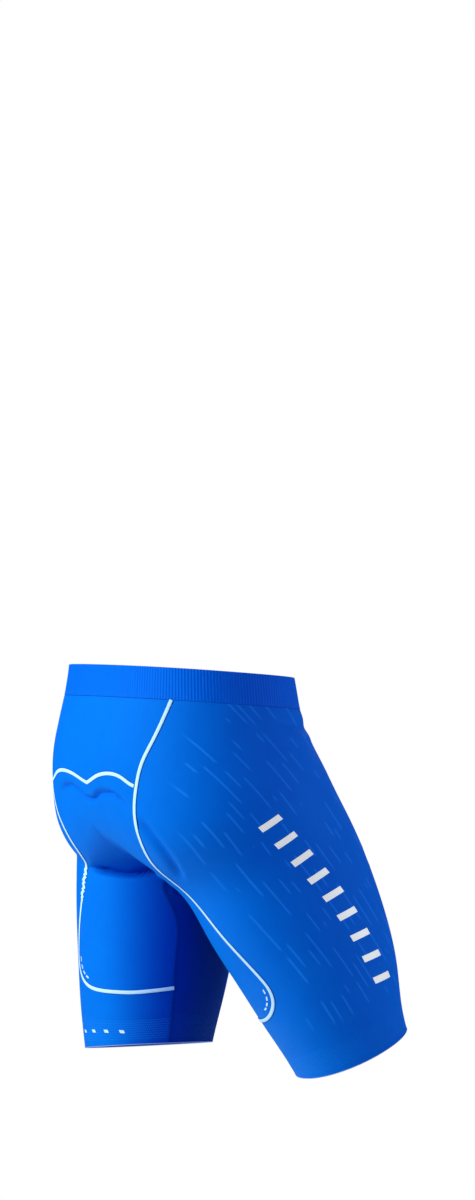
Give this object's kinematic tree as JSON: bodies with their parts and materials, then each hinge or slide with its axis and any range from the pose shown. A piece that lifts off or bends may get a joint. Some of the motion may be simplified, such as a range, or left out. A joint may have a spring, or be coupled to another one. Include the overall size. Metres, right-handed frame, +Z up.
{
  "type": "cycling shorts",
  "caption": "Knee-length stretch cycling shorts in their worn, hollow form: waistband, back yoke with a wavy seam, seat and leg panels, raised pale seam lines and a seat pad inside.",
  "frame": {"origin": "the centre of the waist opening", "axes": "+Z up, front facing -Y, the wearer's right towards -X"},
  "size_m": [0.3879, 0.3541, 0.4904],
  "materials": {
    "azure_knit": "smooth warp knit, low sheen",
    "deep_azure_knit": "matt warp knit",
    "pale_line": "smooth bonded tape",
    "pad_foam": "brushed knit over foam"
  },
  "bodies": {
    "root": {"waistband": "azure_knit", "back_yoke": "azure_knit", "seat_panel": "azure_knit", "side_panel_right": "azure_knit", "side_panel_left": "azure_knit", "inner_panel_right": "deep_azure_knit", "inner_panel_left": "deep_azure_knit", "seam_line_right": "pale_line", "seam_line_left": "pale_line", "seam_line_yoke": "pale_line", "seat_pad": "pad_foam"}
  },
  "joints": []
}
